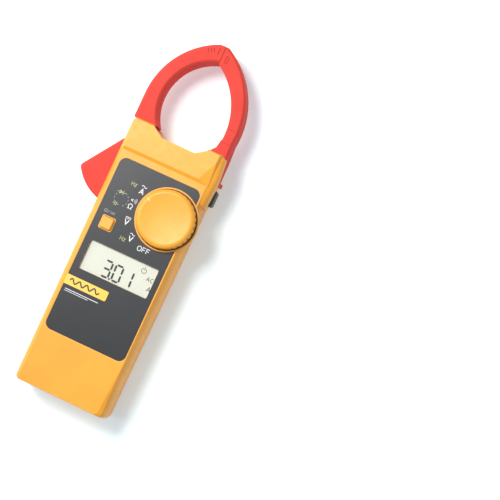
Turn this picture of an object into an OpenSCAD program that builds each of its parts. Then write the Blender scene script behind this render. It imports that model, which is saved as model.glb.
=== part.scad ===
// Clamp meter, built as an assembly of separate parts. Millimetres.
// +Z points out of the front face, +Y points to the jaws, +X is to the right seen from the front.
// The origin lies on the rear face, on the centreline, half way along the meter.

/* [Case] */
// length from the bottom end to the jaw shoulder
case_len = 153.4; // [140:0.1:170]
// left side of the case at the parting line
left_x = -28.1; // [-30:0.1:-25]
// right side of the case at the parting line
right_x = 27.3; // [25:0.1:30]
// how far the case runs on below the lower datum
bottom = 2.2; // [0:0.1:5]
// reach of the boss beside the hold button, from the centreline
boss_x = 29.4; // [28:0.1:32]
// height of the front face above the rear face
case_t = 27.5; // [24:0.5:32]
// height of the parting line
z_mid = 13.8; // [12:0.1:16]
// gap between the two shells along the parting line
split_gap = 0.2; // [0.1:0.05:0.5]
// plan radius of the case corners
corner_r = 2.5; // [1:0.5:8]
// wall thickness of the shells
wall = 2.3; // [1.8:0.1:3]

/* [Jaws] */
// thickness of the jaws
jaw_t = 15.2; // [12:0.1:18]
// outer radius of the moving jaw
lever_out_r = 43.9; // [40:0.1:50]
// inner radius of the moving jaw
lever_in_r = 29.3; // [28:0.1:34]
// outer radius of the fixed jaw
fixed_out_r = 47.6; // [45:0.1:53]
// inner radius of the fixed jaw
fixed_in_r = 39.5; // [36:0.1:43]
// distance from the bottom end to the jaw tip
tip_y = 208; // [200:0.1:216]
// where the two jaws meet, right of the centreline
split_x = 1.5; // [0:0.1:3]
// chamfer along the edges of the jaws
jaw_chamfer = 1.2; // [0.5:0.1:2]
// radius of the trigger about the pivot
trigger_r = 27.6; // [24:0.1:29]
// radius of the pivot pin
pin_r = 2.5; // [2:0.1:3]

/* [Controls] */
// radius of the dial
dial_r = 16.1; // [14:0.1:18]
// height of the top of the dial
dial_top = 33.8; // [31:0.1:36]
// number of grip notches round the dial
dial_notches = 30; // [20:1:60]
// width of the function button
button_w = 6.7; // [5:0.1:8]
// height of the function button above the face
button_up = 1.3; // [0.6:0.1:2]
// length of the hold button
hold_len = 9.2; // [7:0.1:10]

/* [Display] */
// width of the display window
win_w = 40.9; // [30:0.1:42]
// height of the display window
win_h = 17; // [12:0.1:20]

/* [Jacks] */
// distance between the two input jacks
jack_pitch = 19; // [18:0.1:22]
// radius of the jack bore
jack_r = 2; // [1.9:0.05:2.1]

/* [Hidden] */
$fn = 48;
e = 0.01;
y_off = -103;
gap = 0.15;
jaw_lo = z_mid - jaw_t / 2;
jaw_hi = z_mid + jaw_t / 2;
slot_lo = jaw_lo - 0.3;
slot_hi = jaw_hi + 0.3;
pivot = [-20.8, 131];
lever_out_c = [14.9, 167.6];
lever_in_c = [8.9, 170.5];
lever_side = lever_out_c[0] - lever_out_r;
fixed_out_c = [-20.2, 166.6];
fixed_in_c = [-18.9, 163.8];
dial = [12.8, 109.2];
ring_r = dial_r + 1.4;
well_r = dial_r + 0.6;
well_z = case_t - 0.3;
dial_foot = case_t + 0.15;
dish_r = 105;
dish_depth = 0.9;
func = [-16.1, 94.2];
win = [0.1, 74.5];
hold_y = 130;
label_x = [-23.85, 23.85];
label_y = [29.7, 130.7];
case_screw_at = [[-20.5, 9], [20.5, 9], [-2.5, 134], [12.7, 134]];
board_screw_at = [[-20.3, 30], [20.3, 30], [-21, 59], [-7.4, 121.6]];
board_z = 18;
board_t = 1.6;
cell_r = 5.25;
cell_len = 44.5;
cell_y = 27.4;
cell_z = 8.2;
door = [15, 24, 80.5];
door_screw = [0, 77.4];

yellow = [0.98, 0.7, 0.22];
red = [0.93, 0.25, 0.2];
dark = [0.3, 0.3, 0.31];
steel = [0.7, 0.71, 0.73];
brass = [0.8, 0.64, 0.32];
green = [0.1, 0.38, 0.2];
copper = [0.72, 0.42, 0.22];
black = [0.07, 0.07, 0.08];

// everything is drawn from the bottom end and moved to the origin once
module placed() {
  translate([0, y_off, 0]) children();
}

// mirrors the front half of a jaw part to its rear half
module rear_half() {
  translate([0, 0, 2 * z_mid]) mirror([0, 0, 1]) children();
}

// outline of the case, drawn in by a different amount on the left, on the right and at the ends
module plan(left, right, ends) {
  x0 = left_x + left;
  x1 = right_x - right;
  offset(r = corner_r, $fn = 32) offset(delta = -corner_r)
    polygon([[x0 + 0.4, ends - bottom], [x1 - 0.5, ends - bottom], [x1, 80], [x1, case_len - ends],
      [x0, case_len - ends], [x0, 80]]);
}

// the flat front face, a little narrower towards the bottom end
module face_plan() {
  offset(r = corner_r, $fn = 32) offset(delta = -corner_r)
    polygon([[-25, 0.8 - bottom], [22.5, 0.8 - bottom], [24.4, 29], [24.6, 112], [24.8, case_len - 0.8],
      [-25.2, case_len - 0.8], [-25.2, 29]]);
}

module slab(z, left, right, ends) {
  translate([0, 0, z]) linear_extrude(0.1) plan(left, right, ends);
}

module box(x0, x1, y0, y1, z0, z1) {
  translate([x0, y0, z0]) cube([x1 - x0, y1 - y0, z1 - z0]);
}

module round_box(x0, x1, y0, y1, z0, z1, r) {
  translate([0, 0, z0]) linear_extrude(z1 - z0) translate([x0 + r, y0 + r])
    offset(r = r, $fn = 32) square([x1 - x0 - 2 * r, y1 - y0 - 2 * r]);
}

module post(at, r, z0, z1) {
  translate([at[0], at[1], z0]) cylinder(r = r, h = z1 - z0);
}

// the open bay between the jaws at the top of the case
module bay() {
  translate([0, 0, -1]) linear_extrude(case_t + 4)
    polygon([[-15.5, 170], [-15.5, 152.6], [-8.4, 148], [11.6, 148], [17.3, 152], [17.3, 170]]);
}

// space for the jaws and the lever between the front and rear plates
module jaw_space(z0, z1) {
  box(-50, -12.9, 102.6, 170, z0, z1);
  box(-13, 17.3, 128.6, 144.6, z0, z1);
  box(15.3, 40, 138.2, 170, z0, z1);
  box(26.7, 40, 136.9, 138.4, z0, z1);
}

module hold_space(z0, z1) {
  box(17.2, 24.6, 122.6, 136.1, z_mid, slot_hi);
  box(17.2, 26.4, 122.6, 136.1, z0, z1);
  box(26, 34, hold_y - hold_len / 2 - 0.2, hold_y + hold_len / 2 + 0.2, z0, z1);
}

// outline of the boss beside the hold button, widest just above it
module boss_plan(inset, end) {
  offset(r = 1, $fn = 32) offset(delta = -1)
    polygon([[18, 121.4 + end], [boss_x - 0.9 - inset, 122.2 + end], [boss_x - 0.8 - inset, 131],
      [boss_x - inset, 139.5], [boss_x - 1.3 - inset, 151.9], [18, 151.9]]);
}

module boss_slab(z, inset, end) {
  translate([0, 0, z]) linear_extrude(0.1) boss_plan(inset, end);
}

module front_boss() {
  hull() {
    boss_slab(z_mid + split_gap / 2, 0.3, 0);
    boss_slab(21.7, 0, 0.3);
    boss_slab(24.4, 0.4, 0.9);
    boss_slab(25.9, 1.2, 1.8);
    boss_slab(26.5, 2.2, 2.6);
    boss_slab(27.2, 4.2, 4);
  }
}

module rear_boss() {
  hull() {
    boss_slab(z_mid - split_gap / 2 - 0.1, 0.4, 0);
    boss_slab(8, 1.4, 0.6);
    boss_slab(4, 2.3, 2);
    boss_slab(1.6, 4, 4);
  }
}

module front_shape() {
  hull() {
    slab(z_mid + split_gap / 2, 0, 0, 0);
    slab(21.5, 0.1, 0.2, 0.1);
    slab(23.2, 0.25, 0.5, 0.15);
    slab(24.8, 0.7, 1, 0.25);
    slab(26.5, 1.8, 2, 0.45);
    translate([0, 0, case_t - 0.1]) linear_extrude(0.1) face_plan();
  }
  hull() {
    box(-26, 25.4, 134.2, 152.7, case_t - 1.2, case_t - 0.1);
    translate([0, 0, case_t + 1]) linear_extrude(0.1)
      polygon([[-25.2, 136.2], [19.2, 136.2], [24.4, 147.6], [24.4, 152.2], [-25.2, 152.2]]);
  }
  front_boss();
  post(dial, ring_r, case_t - 2, case_t + 0.8);
}

module front_case() {
  color(yellow) placed() difference() {
    union() {
      difference() {
        front_shape();
        round_box(-24.3, 24.3, 0.9, 101.2, z_mid - 1, case_t - wall, 2);
        round_box(-11.4, 24.3, 90, 126.8, z_mid - 1, case_t - wall, 2);
        jaw_space(z_mid - 1, slot_hi);
        hold_space(z_mid - 1, z_mid + 4.6);
      }
      for (p = board_screw_at) post(p, 3, board_z + board_t + 0.05, case_t - 1);
      for (p = case_screw_at) post(p, 3.4, z_mid + split_gap / 2, case_t - 1);
      post(pivot, 5, slot_hi - e, case_t - 1);
    }
    bay();
    translate([0, 0, case_t - 0.35]) linear_extrude(5) difference() {
      label_plan(0.1);
      translate(dial) circle(r = ring_r);
      rim_plan(0);
    }
    round_box(win[0] - win_w / 2, win[0] + win_w / 2, win[1] - win_h / 2, win[1] + win_h / 2,
      case_t - 5, case_t + 2, 1);
    box(win[0] - 23.1, win[0] + 23.1, win[1] - 10.9, win[1] + 11.7, case_t - wall - 1, case_t - 1.1);
    round_box(func[0] - button_w / 2 - 0.15, func[0] + button_w / 2 + 0.15, func[1] - button_w / 2 - 0.15,
      func[1] + button_w / 2 + 0.15, case_t - 5, case_t + 2, 1.2);
    post(dial, well_r, well_z, case_t + 8);
    post(dial, 4.1, case_t - 5, case_t);
    for (p = board_screw_at) post(p, 1.05, board_z, case_t - 3);
    for (p = case_screw_at) post(p, 1.35, z_mid - 1, case_t - 5);
    post(pivot, pin_r + 0.05, z_mid, case_t - 2.4);
    jack_shroud_space();
  }
}

module rear_shape() {
  hull() {
    slab(0, 3.2, 3.4, 3.2);
    slab(0.6, 2.1, 2.3, 2);
    slab(2.4, 1.2, 1.4, 1.1);
    slab(6, 0.5, 0.6, 0.4);
    slab(z_mid - split_gap / 2 - 0.1, 0, 0, 0);
  }
  rear_boss();
}

module door_plan(grow) {
  offset(r = 2, $fn = 32) offset(delta = -2 + grow) union() {
    translate([-door[0], door[1]]) square([2 * door[0], door[2] - door[1] - 5]);
    translate([-6, door[1] + 20]) square([12, door[2] - door[1] - 20]);
  }
}

module rear_case() {
  color(yellow * 0.96) placed() difference() {
    union() {
      difference() {
        rear_shape();
        round_box(-24.3, 24.3, 0.9, 101.2, wall, z_mid, 2);
        round_box(-11.4, 24.3, 90, 126.8, wall, z_mid, 2);
        jaw_space(slot_lo, z_mid);
        hold_space(z_mid - 4.6, z_mid);
      }
      translate([0, 0, 1]) linear_extrude(12.6) offset(delta = 1.6) door_plan(0);
      for (p = case_screw_at) post(p, 3.6, 1, z_mid - split_gap / 2);
      post(pivot, 5, 1, slot_lo);
    }
    bay();
    translate([0, 0, -1]) linear_extrude(3) door_plan(0.25);
    box(-12.4, 12.4, cell_y - 2.2, cell_y + cell_len + 2, 1.9, z_mid);
    post(door_screw, 1.35, 1, 12);
    for (p = case_screw_at) post(p, 2.9, -1, 3);
    for (p = case_screw_at) post(p, 1.5, -1, z_mid);
    post(pivot, pin_r + 0.05, 2.6, z_mid);
    jack_shroud_space();
    for (i = [0 : 3]) round_box(-9, 9, 84 + i * 4, 85.6 + i * 4, -1, 0.5, 0.7);
  }
}

module battery_door() {
  color(yellow * 0.92) placed() difference() {
    union() {
      linear_extrude(1.8) door_plan(0);
      for (s = [-1, 1]) box(s * 9 - 1, s * 9 + 1, 30, 58, 1.7, 2.5);
    }
    post(door_screw, 1.6, -1, 3);
    post(door_screw, 2.9, -1, 0.9);
    for (i = [0 : 4]) round_box(-8, 8, 24 + i * 3, 25.2 + i * 3, -1, 0.4, 0.5);
  }
}

// a pan-head screw with a cross recess, head down
module screw(at, head_r, head_z, head_h, shank_r, top) {
  difference() {
    union() {
      post(at, head_r, head_z, head_z + head_h);
      post(at, shank_r, head_z + head_h - e, top);
    }
    for (a = [0, 90]) translate([at[0], at[1], head_z]) rotate([0, 0, a])
      cube([head_r * 1.2, 0.6, head_h], center = true);
  }
}

module battery_door_screw() {
  color(steel) placed() screw(door_screw, 2.7, 0.1, 0.78, 1.3, 9);
}

module case_screws() {
  color(steel) placed() for (p = case_screw_at) screw(p, 2.7, 1.1, 1.8, 1.3, 20);
}

module board_screws() {
  color(steel) placed() for (p = board_screw_at) screw(p, 2, board_z - 1.35, 1.3, 1, 23.5);
}

module label_plan(grow) {
  offset(r = 4 + grow, $fn = 48) translate([label_x[0] + 4, label_y[0] + 4])
    square([label_x[1] - label_x[0] - 8, label_y[1] - label_y[0] - 8]);
}

// narrow rim round the function button, level with the face
module rim_plan(grow) {
  translate(func) offset(r = 1 + grow, $fn = 32) square(button_w - 0.9, center = true);
}

module front_label() {
  color(dark) placed() difference() {
    translate([0, 0, case_t - 0.34]) linear_extrude(0.3) label_plan(-0.05);
    post(dial, ring_r + 0.05, case_t - 2, case_t + 2);
    round_box(win[0] - win_w / 2, win[0] + win_w / 2, win[1] - win_h / 2, win[1] + win_h / 2,
      case_t - 2, case_t + 2, 1);
    translate([0, 0, case_t - 2]) linear_extrude(4) rim_plan(0.06);
  }
}

module display_window() {
  color([0.8, 0.85, 0.8, 0.35]) placed() {
    round_box(win[0] - win_w / 2 + 0.1, win[0] + win_w / 2 - 0.1, win[1] - win_h / 2 + 0.1,
      win[1] + win_h / 2 - 0.1, case_t - 1.2, case_t - 0.25, 0.9);
    round_box(win[0] - win_w / 2 - 1.2, win[0] + win_w / 2 + 1.2, win[1] - win_h / 2 - 1.2,
      win[1] + win_h / 2 + 1.2, case_t - 1.62, case_t - 1.13, 0.9);
  }
}

module display_frame() {
  color(black) placed() difference() {
    box(win[0] - 22.8, win[0] + 22.8, win[1] - 10.6, win[1] + 11.4, board_z + board_t + 0.05, 25.8);
    box(win[0] - 21.9, win[0] + 21.9, win[1] - 9.4, win[1] + 10.2, 22.6, 27);
    for (s = [-1, 1]) box(win[0] - 20.6, win[0] + 20.6, win[1] + s * 8.6 - 0.9, win[1] + s * 8.6 + 0.9,
      19, 23);
  }
}

module lcd_glass() {
  color([0.78, 0.8, 0.72]) placed() {
    box(win[0] - 21.6, win[0] + 21.6, win[1] - 9.2, win[1] + 10, 24.2, 25);
    box(win[0] - 21.2, win[0] + 21.2, win[1] - 8.4, win[1] + 9.6, 25, 25.8);
  }
}

module lcd_backing() {
  color([0.9, 0.91, 0.88]) placed()
    box(win[0] - 21.4, win[0] + 21.4, win[1] - 7.5, win[1] + 7.5, 23.4, 24.1);
}

module zebra_strips() {
  color([0.8, 0.45, 0.5]) placed() for (s = [-1, 1])
    box(win[0] - 20.4, win[0] + 20.4, win[1] + s * 8.6 - 0.75, win[1] + s * 8.6 + 0.75,
      board_z + board_t + 0.03, 24.15);
}

module main_board() {
  color(green) placed() difference() {
    translate([0, 0, board_z]) linear_extrude(board_t) polygon([[-23.8, 26], [23.8, 26], [23.8, 134],
      [17.8, 134], [17.8, 126.2], [-10.8, 126.2], [-10.8, 100.7], [-23.8, 100.7]]);
    for (p = board_screw_at) post(p, 1.25, board_z - 1, board_z + 3);
    post(dial, 3.4, board_z - 1, board_z + 3);
  }
}

module main_chip() {
  color(black) placed() {
    box(-6, 6, 68, 80, board_z - 1.6, board_z - 0.1);
    for (i = [0 : 15], s = [-1, 1]) {
      box(-5.4 + i * 0.7, -5.05 + i * 0.7, 74 + s * 6.6 - 0.65, 74 + s * 6.6 + 0.65,
        board_z - 0.3, board_z - 0.02);
      box(s * 6.6 - 0.65, s * 6.6 + 0.65, 68.6 + i * 0.7, 68.95 + i * 0.7,
        board_z - 0.3, board_z - 0.02);
    }
  }
}

module small_chips() {
  color(black) placed() for (p = [[15, 84], [15, 72], [-13, 86]]) {
    box(p[0] - 2.5, p[0] + 2.5, p[1] - 2, p[1] + 2, board_z - 1.5, board_z - 0.1);
    for (i = [0 : 3], s = [-1, 1]) box(p[0] - 2.1 + i * 1.27, p[0] - 1.7 + i * 1.27,
      p[1] + s * 2.5 - 0.5, p[1] + s * 2.5 + 0.5, board_z - 0.3, board_z - 0.02);
  }
}

module chip_resistors() {
  color([0.15, 0.15, 0.17]) placed() {
    for (i = [0 : 5]) box(-20 + i * 2.4, -18.8 + i * 2.4, 90, 92, board_z - 0.6, board_z - 0.02);
    for (i = [0 : 6]) box(-20, -18, 62 + i * 3, 63.2 + i * 3, board_z - 0.6, board_z - 0.02);
    for (i = [0 : 4]) box(19, 21, 88 + i * 3, 89.2 + i * 3, board_z - 0.6, board_z - 0.02);
  }
}

module input_resistors() {
  color([0.35, 0.55, 0.7]) placed() for (i = [0 : 2])
    translate([-12 + i * 5, 28, 21.4]) rotate([-90, 0, 0]) {
      cylinder(r = 1.6, h = 9);
      translate([0, 0, -2]) cylinder(r = 0.3, h = 13);
    }
}

module capacitors() {
  color([0.2, 0.22, 0.3]) placed() {
    for (p = [[18, 49], [18, 41]]) post(p, 2.5, board_z + board_t + 0.03, 24.4);
    post([-4, 47], 2, board_z + board_t + 0.03, 23);
  }
}

module crystal() {
  color(steel) placed() round_box(2, 6, 44, 52, board_z + board_t + 0.03, 22.6, 1.9);
}

module trimmers() {
  color([0.15, 0.3, 0.7]) placed() for (x = [-18, -12]) difference() {
    box(x - 2.2, x + 2.2, 42, 46.4, board_z + board_t + 0.03, 22.4);
    post([x, 44.2], 1.4, 21.8, 23);
  }
}

module thermistor() {
  color([0.85, 0.72, 0.2]) placed() translate([8, 32, 23.4]) rotate([-90, 0, 0]) {
    cylinder(r = 1.7, h = 3);
    for (s = [-1, 1]) translate([s * 1.2, 3.2, 1.5]) rotate([90, 0, 0]) cylinder(r = 0.3, h = 1.8);
  }
}

module buzzer() {
  color(black) placed() difference() {
    post([-9, 54.5], 5.6, board_z + board_t + 0.03, 23.8);
    post([-9, 54.5], 1, 22, 25);
  }
}

// side view of the dial: straight skirt, rounded shoulder, flat top
function shoulder(a) = [dial_r - 2.4 + 2.4 * cos(a), dial_top - 2.2 + 2.2 * sin(a)];

module knob_profile() {
  polygon(concat([[0, dial_foot], [dial_r, dial_foot]], [for (i = [0 : 8]) shoulder(i * 11.25)],
    [[0, dial_top]]));
}

module dial_knob() {
  color([1, 0.76, 0.3]) placed() difference() {
    union() {
      translate([dial[0], dial[1], 0]) rotate_extrude() knob_profile();
      post(dial, 4.05, case_t - wall - 2.2, case_t + 1);
    }
    translate([dial[0], dial[1], dial_top + dish_r - dish_depth]) sphere(r = dish_r, $fn = 96);
    for (i = [0 : dial_notches - 1]) rotate_about(dial, (i + 0.5) * 360 / dial_notches)
      post([dial[0] + dial_r + 0.35, dial[1]], 0.95, case_t + 1, dial_top - 1.4);
    rotate_about(dial, 155) round_box(dial[0] + dial_r - 3.2, dial[0] + dial_r - 1.2, dial[1] - 0.55,
      dial[1] + 0.55, dial_top - 1, dial_top + 1, 0.4);
    translate([dial[0], dial[1], case_t - 6]) cylinder(r = 3.02, h = 8);
  }
}

// felt washer in the well below the dial, which keeps dust out of the switch
module dial_seal() {
  color(black) placed() difference() {
    post(dial, well_r - 0.1, well_z, dial_foot - 0.05);
    post(dial, 11.5, well_z - 1, dial_foot + 1);
  }
}

module rotate_about(c, a) {
  translate([c[0], c[1], 0]) rotate([0, 0, a]) translate([-c[0], -c[1], 0]) children();
}

module switch_rotor() {
  color([0.92, 0.9, 0.85]) placed() difference() {
    union() {
      post(dial, 11.2, 20.9, 22.7);
      post(dial, 3, 20.9, case_t + 1.4);
      for (a = [35, 215]) rotate_about(dial, a) post([dial[0] + 9, dial[1]], 1.9, 22.6, 24.2);
    }
    for (a = [35, 215]) rotate_about(dial, a) post([dial[0] + 9, dial[1]], 1.1, 21.2, 25);
    for (a = [100 : 40 : 180]) rotate_about(dial, a) post([dial[0] + 7, dial[1]], 1.5, 20, 24);
  }
}

module rotor_contacts() {
  color(brass) placed() for (r = [4.6, 6.8, 9]) translate([dial[0], dial[1], board_z + board_t + 0.1])
    rotate([0, 0, 240 + r * 6]) rotate_extrude(angle = 46) translate([r, 0]) square([1.3, 1.1]);
}

module detent_balls() {
  color(steel) placed() for (a = [35, 215]) rotate_about(dial, a)
    translate([dial[0] + 9, dial[1], 24.1]) sphere(r = 1, $fn = 32);
}

module detent_springs() {
  color(steel) placed() for (a = [35, 215], k = [0 : 3]) rotate_about(dial, a)
    translate([dial[0] + 9, dial[1], 21.45 + k * 0.5])
      rotate_extrude($fn = 24) translate([0.72, 0]) circle(r = 0.18, $fn = 16);
}

module function_button() {
  color([0.99, 0.77, 0.3]) placed() {
    hull() {
      round_box(func[0] - button_w / 2, func[0] + button_w / 2, func[1] - button_w / 2,
        func[1] + button_w / 2, case_t - 3.4, case_t + button_up - 0.6, 1.1);
      round_box(func[0] - button_w / 2 + 0.6, func[0] + button_w / 2 - 0.6, func[1] - button_w / 2 + 0.6,
        func[1] + button_w / 2 - 0.6, case_t, case_t + button_up, 0.8);
    }
    round_box(func[0] - button_w / 2 - 1, func[0] + button_w / 2 + 1, func[1] - button_w / 2 - 1,
      func[1] + button_w / 2 + 1, case_t - wall - 1.2, case_t - wall - 0.1, 1);
  }
}

module button_dome() {
  color([0.45, 0.45, 0.46]) placed() difference() {
    translate([func[0], func[1], board_z + board_t + 0.03]) cylinder(r1 = 3.6, r2 = 2.4, h = 4.3);
    translate([func[0], func[1], board_z + board_t]) cylinder(r1 = 2.8, r2 = 1.6, h = 3.2);
  }
}

module hold_button() {
  color([0.36, 0.37, 0.4]) placed() {
    hull() {
      box(25, 29, hold_y - hold_len / 2, hold_y + hold_len / 2, z_mid - 4.3, z_mid + 4.3);
      box(25, 30, hold_y - hold_len / 2 + 0.9, hold_y + hold_len / 2 - 0.9, z_mid - 3.4, z_mid + 3.4);
    }
    box(24.4, 25.3, hold_y - hold_len / 2 - 1.3, hold_y + hold_len / 2 + 1.3, z_mid - 4.3, z_mid + 3.6);
  }
}

module hold_switch() {
  color(black) placed() {
    box(18.8, 22.4, hold_y - 3, hold_y + 3, board_z - 6.6, board_z - 0.05);
    translate([22.3, hold_y, z_mid]) rotate([0, 90, 0]) cylinder(r = 1.5, h = 0.8);
  }
}

// solid of one jaw between its outer and inner curves, front half, with chamfered edges
module jaw_band(out_c, out_r, in_c, in_r) {
  z0 = z_mid + 0.05;
  h = jaw_hi - z0;
  difference() {
    union() {
      translate([out_c[0], out_c[1], z0]) cylinder(r = out_r, h = h - jaw_chamfer, $fn = 128);
      translate([out_c[0], out_c[1], jaw_hi - jaw_chamfer - e])
        cylinder(r1 = out_r, r2 = out_r - jaw_chamfer, h = jaw_chamfer + e, $fn = 128);
    }
    jaw_bore(in_c, in_r);
  }
}

// what the inner curve of a jaw takes out, front half, with its chamfer
module jaw_bore(in_c, in_r) {
  translate([in_c[0], in_c[1], 0]) {
    cylinder(r = in_r, h = 40, $fn = 128);
    translate([0, 0, jaw_hi - 0.8]) cylinder(r1 = in_r, r2 = in_r + 1, h = 0.8 + e, $fn = 128);
  }
}

// the arc-shaped strip that the core fills
module core_band(out_c, out_r, in_c, in_r, x0, x1, grow, z0, z1) {
  intersection() {
    difference() {
      translate([out_c[0], out_c[1], z0]) cylinder(r = out_r - 2.2 + grow, h = z1 - z0, $fn = 96);
      translate([in_c[0], in_c[1], z0 - 1]) cylinder(r = in_r + 2.2 - grow, h = z1 - z0 + 2, $fn = 96);
    }
    box(x0, x1, 157, 220, z0 - 1, z1 + 1);
  }
}

module moving_core_shape(grow, z0, z1) {
  core_band(lever_out_c, lever_out_r, lever_in_c, lever_in_r, -60, split_x - 0.2 + grow, grow, z0, z1);
  box(-24.6 - grow, -21 + grow, 139.5 - grow, 157.5, z0, z1);
  box(-25 - grow, -20.6 + grow, 155, 161, z0, z1);
}

module fixed_core_shape(grow, z0, z1) {
  core_band(fixed_out_c, fixed_out_r, fixed_in_c, fixed_in_r, split_x + 0.2 - grow, 60, grow, z0, z1);
  box(21.4 - grow, 25 + grow, 141 - grow, 158, z0, z1);
}

module fin_plan(inset) {
  offset(r = 2.4, $fn = 32) offset(delta = -2.4 - inset) intersection() {
    translate(pivot) circle(r = trigger_r, $fn = 128);
    polygon([[-22, 150], [-50, 109.8], [-30, 95], [-24, 100], [-23.2, 106], [-17, 122], [-14.8, 128]]);
  }
}

module lever_half() {
  z0 = z_mid + 0.05;
  difference() {
    union() {
      intersection() {
        jaw_band(lever_out_c, lever_out_r, lever_in_c, lever_in_r);
        box(-60, split_x - 0.1, 153, tip_y, 0, 30);
      }
      difference() {
        hull() {
          box(lever_side, -16.5, 153.3, lever_out_c[1], z0, jaw_hi - jaw_chamfer);
          box(lever_side + jaw_chamfer, -16.5, 153.3, lever_out_c[1], jaw_hi - jaw_chamfer, jaw_hi);
        }
        jaw_bore(lever_in_c, lever_in_r);
      }
      box(-26.9, -16.2, 131, 153.5, z0, jaw_hi);
      translate([0, 0, z0]) linear_extrude(jaw_hi - z0)
        polygon([[-16.5, 144], [-13.3, 144], [-13.3, 151], [-15.5, 152.4], [-16.5, 153.4]]);
      post(pivot, 7, z0, jaw_hi);
      hull() {
        translate([0, 0, z0]) linear_extrude(jaw_hi - 1 - z0) fin_plan(0);
        translate([0, 0, jaw_hi - 0.1]) linear_extrude(0.1) fin_plan(1);
      }
    }
    moving_core_shape(0.15, z0 - 1, z_mid + 5.7);
    box(-25.6, -17.4, 141, 151, z0 - 1, z_mid + 6.7);
    post(pivot, pin_r + 0.06, 0, 40);
  }
}

module moving_jaw_front() {
  color(red) placed() difference() {
    lever_half();
    post(pivot, 4.7, 17.3, 30);
    translate([pivot[0], pivot[1], 17.3]) rotate([0, 0, -62])
      rotate_extrude(angle = 60) square([8, 8]);
    for (a = [0 : 2]) rotate_about([-4.6, 203.4], 28) box(-7 + a * 1.6, -6.6 + a * 1.6, 202.2, 204.6,
      jaw_hi - 0.3, jaw_hi + 1);
    box(-1.2, -0.8, 202, 206, jaw_hi - 0.3, jaw_hi + 1);
  }
}

module moving_jaw_rear() {
  color(red) placed() rear_half() lever_half();
}

module fixed_base_plan(inset) {
  polygon([[15.6, 138.8], [27.8 - inset, 138.8], [27.6 - inset, 151.5], [27.1 - inset, 161],
    [15.6, 161]]);
}

module fixed_half() {
  z0 = z_mid + 0.05;
  difference() {
    union() {
      intersection() {
        jaw_band(fixed_out_c, fixed_out_r, fixed_in_c, fixed_in_r);
        box(split_x + 0.1, 60, 154, tip_y, 0, 30);
      }
      difference() {
        hull() {
          translate([0, 0, z0]) linear_extrude(jaw_hi - jaw_chamfer - z0) fixed_base_plan(0);
          translate([0, 0, jaw_hi - 0.1]) linear_extrude(0.1) fixed_base_plan(jaw_chamfer);
        }
        linear_extrude(40)
          polygon([[10, 150], [16.2, 152.4], [19.4, 156], [20.3, 161], [10, 161]]);
      }
      box(8.2, 17.1, 129.4, 139.2, z0, jaw_hi);
      box(15.4, 17.1, 138, 142, z0, jaw_hi);
      box(26.9, 29.2, 137.1, 139.4, z0, jaw_hi);
    }
    fixed_core_shape(0.15, z0 - 1, z_mid + 5.7);
    box(17.8, 26, 142.2, 151.4, z0 - 1, z_mid + 6.7);
    post([12.7, 134], 3.7, 0, 40);
  }
}

module fixed_jaw_front() {
  color(red) placed() difference() {
    fixed_half();
    for (y = [159.6, 167.4]) box(18, 30, y, y + 0.4, jaw_hi - 0.3, jaw_hi + 1);
    for (s = [0, 1]) box(4 + s * 1.4, 4.4 + s * 1.4, 199.6, 203.4, jaw_hi - 0.3, jaw_hi + 1);
    box(4, 5.8, 199.4, 199.8, jaw_hi - 0.3, jaw_hi + 1);
    box(4, 5.8, 203.2, 203.6, jaw_hi - 0.3, jaw_hi + 1);
  }
}

module fixed_jaw_rear() {
  color(red) placed() rear_half() fixed_half();
}

module moving_core() {
  color(steel * 0.85) placed() moving_core_shape(0, z_mid - 5.5, z_mid + 5.5);
}

module fixed_core() {
  color(steel * 0.85) placed() fixed_core_shape(0, z_mid - 5.5, z_mid + 5.5);
}

module core_yoke() {
  color(steel * 0.8) placed() box(-12.4, 15, 139.4, 143.6, z_mid - 5.5, z_mid + 5.5);
}

module moving_coil() {
  color(copper) placed() difference() {
    round_box(-25.4, -17.6, 141.3, 150.7, z_mid - 6.5, z_mid + 6.5, 1);
    box(-24.9, -20.7, 130, 170, z_mid - 5.8, z_mid + 5.8);
  }
}

module fixed_coil() {
  color(copper) placed() difference() {
    round_box(18, 25.8, 142.4, 151.2, z_mid - 6.5, z_mid + 6.5, 1);
    box(21.1, 25.3, 130, 170, z_mid - 5.8, z_mid + 5.8);
  }
}

module jaw_pivot_pin() {
  color(steel) placed() difference() {
    post(pivot, pin_r, 2.8, case_t - 2.6);
    translate([pivot[0], pivot[1], 2.7]) cylinder(r1 = 1.2, r2 = 0, h = 1);
  }
}

module jaw_spring() {
  color(steel) placed() {
    for (k = [0 : 3]) translate([pivot[0], pivot[1], 17.9 + k * 0.9])
      rotate_extrude() translate([3.6, 0]) circle(r = 0.4, $fn = 16);
    translate([pivot[0], pivot[1], 20.6]) rotate([0, 0, -32]) translate([3.7, 0, 0]) rotate([0, 90, 0])
      cylinder(r = 0.4, h = 3.6, $fn = 16);
  }
}

module jack_shroud_space() {
  for (s = [-1, 1]) translate([s * jack_pitch / 2, -bottom - 1, z_mid]) rotate([-90, 0, 0])
    cylinder(r = 5.75, h = 23.2 + bottom);
}

module jack_shroud(s) {
  placed() translate([s * jack_pitch / 2, 0.3 - bottom, z_mid]) rotate([-90, 0, 0]) difference() {
    cylinder(r = 5.65, h = 21.7 + bottom);
    translate([0, 0, -1]) cylinder(r = 4.3, h = 20.7 + bottom);
    cylinder(r = 3.05, h = 24 + bottom);
  }
}

module com_jack_shroud() {
  color(black) jack_shroud(-1);
}

module volt_jack_shroud() {
  color([0.75, 0.1, 0.08]) jack_shroud(1);
}

module jack(s) {
  color(brass) placed() translate([s * jack_pitch / 2, 3, z_mid]) rotate([-90, 0, 0]) difference() {
    cylinder(r = 3, h = 19);
    translate([0, 0, -1]) cylinder(r = jack_r, h = 19);
  }
}

module com_jack() {
  jack(-1);
}

module volt_jack() {
  jack(1);
}

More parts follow.
